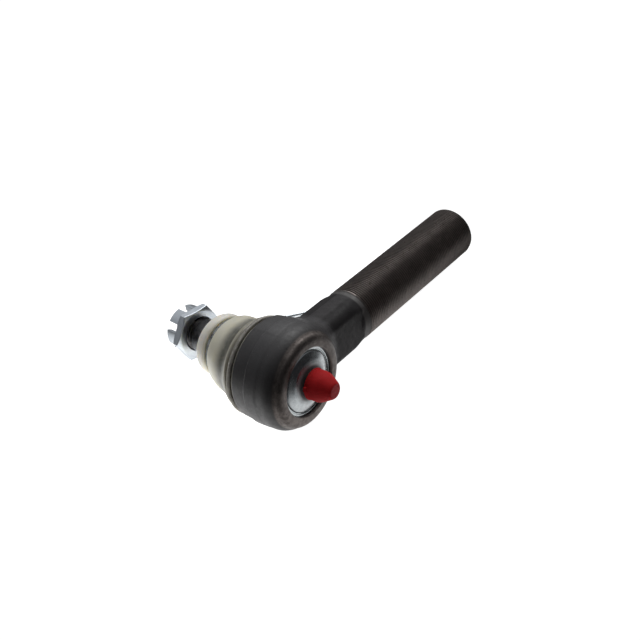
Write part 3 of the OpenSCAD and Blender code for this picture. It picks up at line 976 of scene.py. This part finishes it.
def repaint(node, material):
    """Gives a CAD node that stays a better material."""
    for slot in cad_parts[node].material_slots:
        slot.material = material


zinc_wire = plated("zinc_wire", (0.40, 0.43, 0.45), (0.60, 0.64, 0.66), 0.25, 0.40, cloud=3, dark_marks=0.4)
spring_wire = plated("spring_steel", (0.20, 0.21, 0.21), (0.42, 0.44, 0.45), 0.22, 0.36, cloud=3, dark_marks=0.3)

forged = forged_steel()
dress(make_forging(), forged, "housing", "forged_black", "housing")
dress(make_shank_thread(), cut_thread(), "housing", "forged_black", "housing")
dress(make_cover(), plated("zinc_plate", (0.28, 0.30, 0.31), (0.41, 0.435, 0.44), 0.20, 0.28,
                          cloud=4, dark_marks=0.6, grain=0.012, waves=0.02, painted_cap_shade=True),
      "housing", "zinc_plate", "cover_plate")
dress(make_nipple(), plated("nipple_steel", (0.42, 0.38, 0.24), (0.62, 0.56, 0.38), 0.28, 0.42, cloud=3),
      "housing", "nipple_steel", "grease_nipple_body")
dress(make_stud(), turned_steel("stud_steel", (0.03, 0.03, 0.032), (0.11, 0.107, 0.107), 0.24, leaning=True),
      "stud", "stud_steel", "ball_stud")
dress(make_nut(), plated("zinc_nut", (0.52, 0.56, 0.60), (0.62, 0.66, 0.70), 0.30, 0.38,
                        cloud=5, dark_marks=0.15, grain=0.006, waves=0.01),
      "nut", "zinc_nut", "castle_nut")
dress(make_cap(), moulded("cap_red", ((0.40, 0.012, 0.014), (0.48, 0.016, 0.019)), 0.62, subsurface=0.15,
                          radius=(1.2, 0.3, 0.3), mark=("tip", (0.50, 0.060, 0.065), 0.8), shine=0.1),
      "cap", "cap_red", "protective_cap")
dress(make_pin(), zinc_wire, "split_pin", "zinc_wire", "cotter_pin")

base_y = (base_spring_low.y + base_spring_high.y) / 2 / MM
base_coil_r = (base_spring_high.y - base_spring_low.y) / 2 / MM
base_ring_r = base_spring_high.x / MM - base_coil_r
dress(coil_ring("base_garter", base_y, base_ring_r, base_coil_r, 0.30),
      plated("oiled_wire", (0.30, 0.285, 0.255), (0.46, 0.44, 0.40), 0.45, 0.58, cloud=3, dark_marks=0.3),
      "housing", "spring_steel", "boot_base_spring")
dress(lean(coil_ring("collar_garter", 38.0, 14.9, 1.1, 0.26)), spring_wire,
      "boot_collar", "spring_steel", "boot_collar_spring")
coil_low, coil_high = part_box("nipple_spring")
dress(helix_spring("nipple_coil", coil_low.y / MM, coil_high.y / MM, coil_high.x / MM, 0.17, 8), spring_wire,
      "housing", "spring_steel", "nipple_spring")

boot = dress(make_boot(), boot_rubber(), None, "boot_polyurethane", "dust_boot")
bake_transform(boot)

seat_plastic = moulded("seat_plastic", ((0.74, 0.72, 0.64), (0.84, 0.82, 0.75)), 0.35, subsurface=0.2)
repaint("upper_bearing_seat", seat_plastic)
repaint("lower_bearing_seat", seat_plastic)
repaint("preload_spring", turned_steel("disc_spring_steel", (0.10, 0.10, 0.10), (0.30, 0.30, 0.29), 0.30))
repaint("cover_seal_ring", moulded("seal_rubber", ((0.012, 0.012, 0.012), (0.022, 0.022, 0.022)), 0.5))
repaint("nipple_check_ball", turned_steel("ball_steel", (0.60, 0.60, 0.62), (0.75, 0.75, 0.77), 0.08))


# ----------------------------------------------------- floor, light and camera

def rest_plane(x, y):
    """Height of the floor in millimetres: the eye, the end of the shank and the nut rest on it."""
    return -28.725 + 0.08103 * x + 0.21872 * y


def floor_distance(tree, x, y):
    """Distance in metres from the point of the floor at (x, y) millimetres."""
    spot = new_node(tree, "ShaderNodeTexCoord", "Object")
    centre = (x * MM, y * MM, rest_plane(x, y) * MM)
    return new_node(tree, "ShaderNodeVectorMath", "Value", {"operation": "DISTANCE"}, _0=spot, _1=centre)


def make_floor():
    """A round white floor that glows softly in front of the cover and beside the boot; beyond about 90 to 140
    mm from the cover its colour turns dark, a painted falloff of light.
    """
    middle_x, middle_y, radius, rings, spokes = 66, 17, 800, 12, 96
    vertices = [(middle_x, middle_y, rest_plane(middle_x, middle_y))]
    for i in range(1, rings + 1):
        for j in range(spokes):
            x = middle_x + radius * i / rings * math.cos(2 * math.pi * j / spokes)
            y = middle_y + radius * i / rings * math.sin(2 * math.pi * j / spokes)
            vertices.append((x, y, rest_plane(x, y)))
    faces = [(0, 1 + j, 1 + (j + 1) % spokes) for j in range(spokes)]
    for i in range(rings - 1):
        a = 1 + i * spokes
        faces += [(a + j, a + spokes + j, a + spokes + (j + 1) % spokes, a + (j + 1) % spokes)
                  for j in range(spokes)]
    floor = new_object("floor", vertices, faces)
    material, tree, surface = shader("floor_white", Roughness=0.9, Specular_IOR_Level=0.1)
    surface.inputs["Emission Color"].default_value = (1.0, 1.0, 1.0, 1)
    from_cover = floor_distance(tree, 45, -8)
    from_boot = floor_distance(tree, -42, 34)
    glow = remap(tree, from_cover, 0.055, 0.100, 0.85, 0.02)
    glow = arithmetic(tree, "MAXIMUM", glow, remap(tree, from_boot, 0.035, 0.090, 1.4, 0.0))
    # Painted shade: the floor's colour turns dark away from the cover, as if the light fell off.
    painted_falloff = mix(tree, remap(tree, from_cover, 0.090, 0.140), (0.85, 0.85, 0.85), (0.10, 0.10, 0.10))
    tree.links.new(painted_falloff, surface.inputs["Base Color"])
    seen = new_node(tree, "ShaderNodeLightPath", "Is Camera Ray")
    tree.links.new(arithmetic(tree, "MAXIMUM", glow, seen), surface.inputs["Emission Strength"])
    floor.data.materials.append(material)


def add_light(name, at, target, size, power):
    """A round white studio light at a place, turned towards its target."""
    light = bpy.data.lights.new(name, "AREA")
    light.shape = "DISK"
    light.size = size
    light.energy = power
    lamp = bpy.data.objects.new(name, light)
    lamp.location = at
    lamp.rotation_euler = (Vector(target) - Vector(at)).to_track_quat("-Z", "Y").to_euler()
    bpy.context.scene.collection.objects.link(lamp)


def make_world():
    """A dim studio that is brightest above and behind the object, and a white backdrop."""
    world = bpy.data.worlds.new("studio")
    bpy.context.scene.world = world
    world.use_nodes = True
    tree = world.node_tree
    background = tree.nodes["Background"]
    way = new_node(tree, "ShaderNodeTexCoord", "Generated")
    brightest = tuple(Vector((0.32, 0.55, 0.77)).normalized())
    toward = new_node(tree, "ShaderNodeVectorMath", "Value", {"operation": "DOT_PRODUCT"},
                      _0=way, _1=brightest)
    dim = mix(tree, remap(tree, toward, -0.1, 0.9), (0.03, 0.03, 0.032), (0.55, 0.56, 0.58))
    seen = new_node(tree, "ShaderNodeLightPath", "Is Camera Ray")
    tree.links.new(mix(tree, seen, dim, (1.0, 1.0, 1.0)), background.inputs["Color"])


def make_camera():
    """The camera: bearing, height and roll in degrees, then a slide and distance in millimetres."""
    bearing = -50.002
    height = 31.828
    roll = -6.608
    slide = (19.807 * MM, 25.753 * MM, 515.977 * MM)
    data = bpy.data.cameras.new("camera")
    data.lens = 58.352
    data.sensor_width = 36
    data.clip_start = 0.01
    camera = bpy.data.objects.new("camera", data)
    bpy.context.scene.collection.objects.link(camera)
    aim = Matrix.Rotation(math.radians(bearing), 4, "Z")
    aim = aim @ Matrix.Rotation(math.radians(90 - height), 4, "X")
    aim = aim @ Matrix.Rotation(math.radians(roll), 4, "Z")
    camera.matrix_world = aim @ Matrix.Translation(slide)
    bpy.context.scene.camera = camera


make_floor()
make_world()
add_light("overhead", at=(0.60, 0.12, 0.85), target=(0.05, 0.02, 0), size=0.8, power=5.5)
make_camera()
bpy.context.scene.view_settings.view_transform = "Standard"
